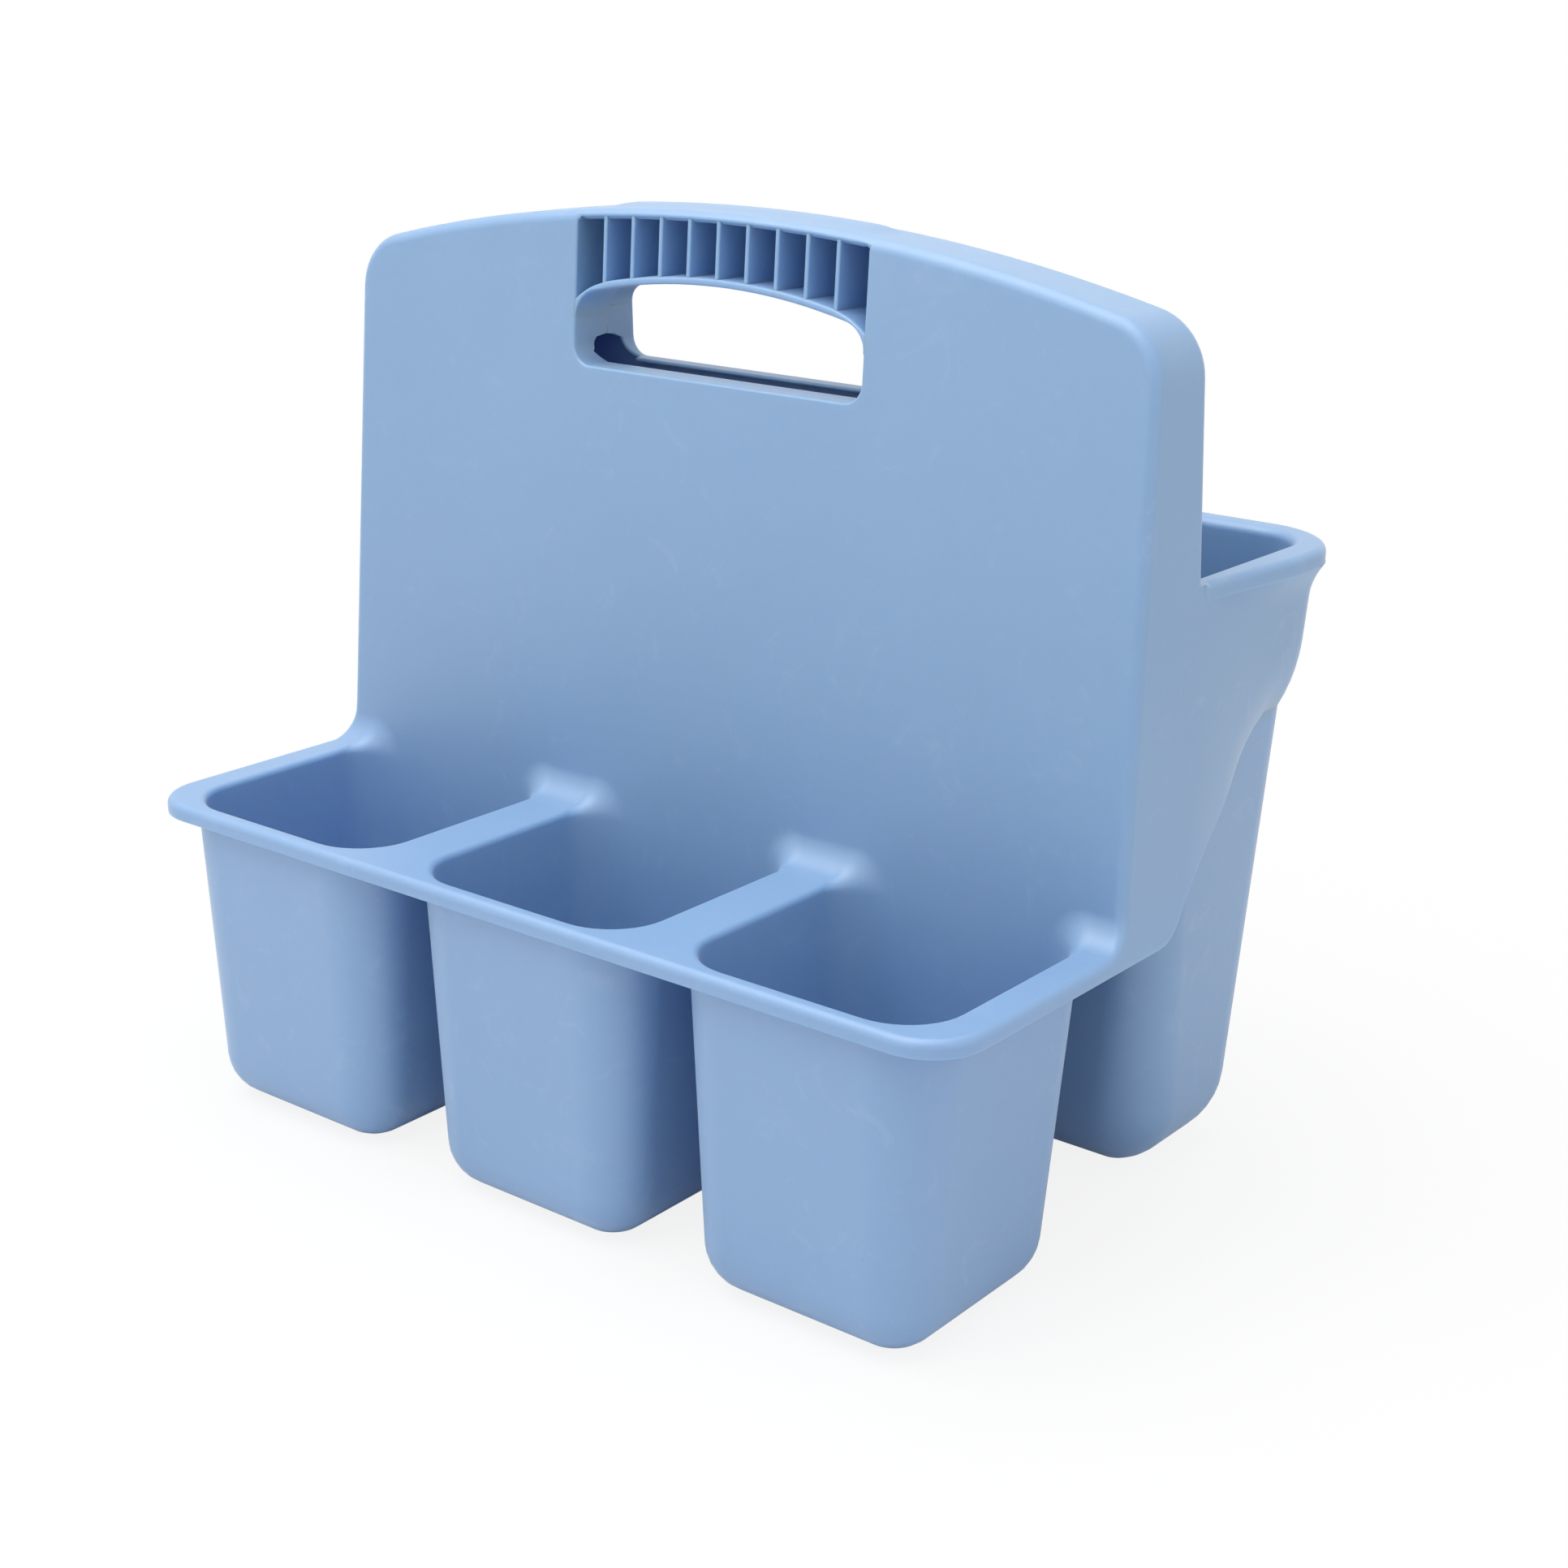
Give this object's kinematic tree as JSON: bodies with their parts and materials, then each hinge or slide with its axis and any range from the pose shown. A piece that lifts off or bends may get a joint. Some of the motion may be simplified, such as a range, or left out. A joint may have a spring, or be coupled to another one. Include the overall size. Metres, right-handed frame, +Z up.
{
  "type": "cleaning caddy",
  "caption": "Moulded plastic cleaning caddy: small cups in a rimmed deck in front of an upright panel with an arched hand hole, and a wide deep bin behind it.",
  "frame": {"origin": "middle of the caddy's footprint box, at the level of the surface it stands on", "axes": "+X along the panel to the caddy's right seen from the cups, +Y from the cups towards the rear bin, +Z up"},
  "size_m": [0.314, 0.215, 0.2935],
  "materials": {
    "moulding": "fine satin as moulded, light scuffs on the cups"
  },
  "bodies": {
    "root": {"front_cup_left": "moulding", "front_cup_middle": "moulding", "front_cup_right": "moulding", "deck_rim": "moulding", "deck_plate": "moulding", "panel_front_wall": "moulding", "panel_shoulder_left": "moulding", "panel_shoulder_right": "moulding", "panel_rear_wall": "moulding", "panel_edge_band": "moulding", "side_skirt_left": "moulding", "side_skirt_right": "moulding", "grip_ribs": "moulding", "grip_arch": "moulding", "rear_bin": "moulding", "bin_collar": "moulding", "rear_rim": "moulding"}
  },
  "joints": []
}
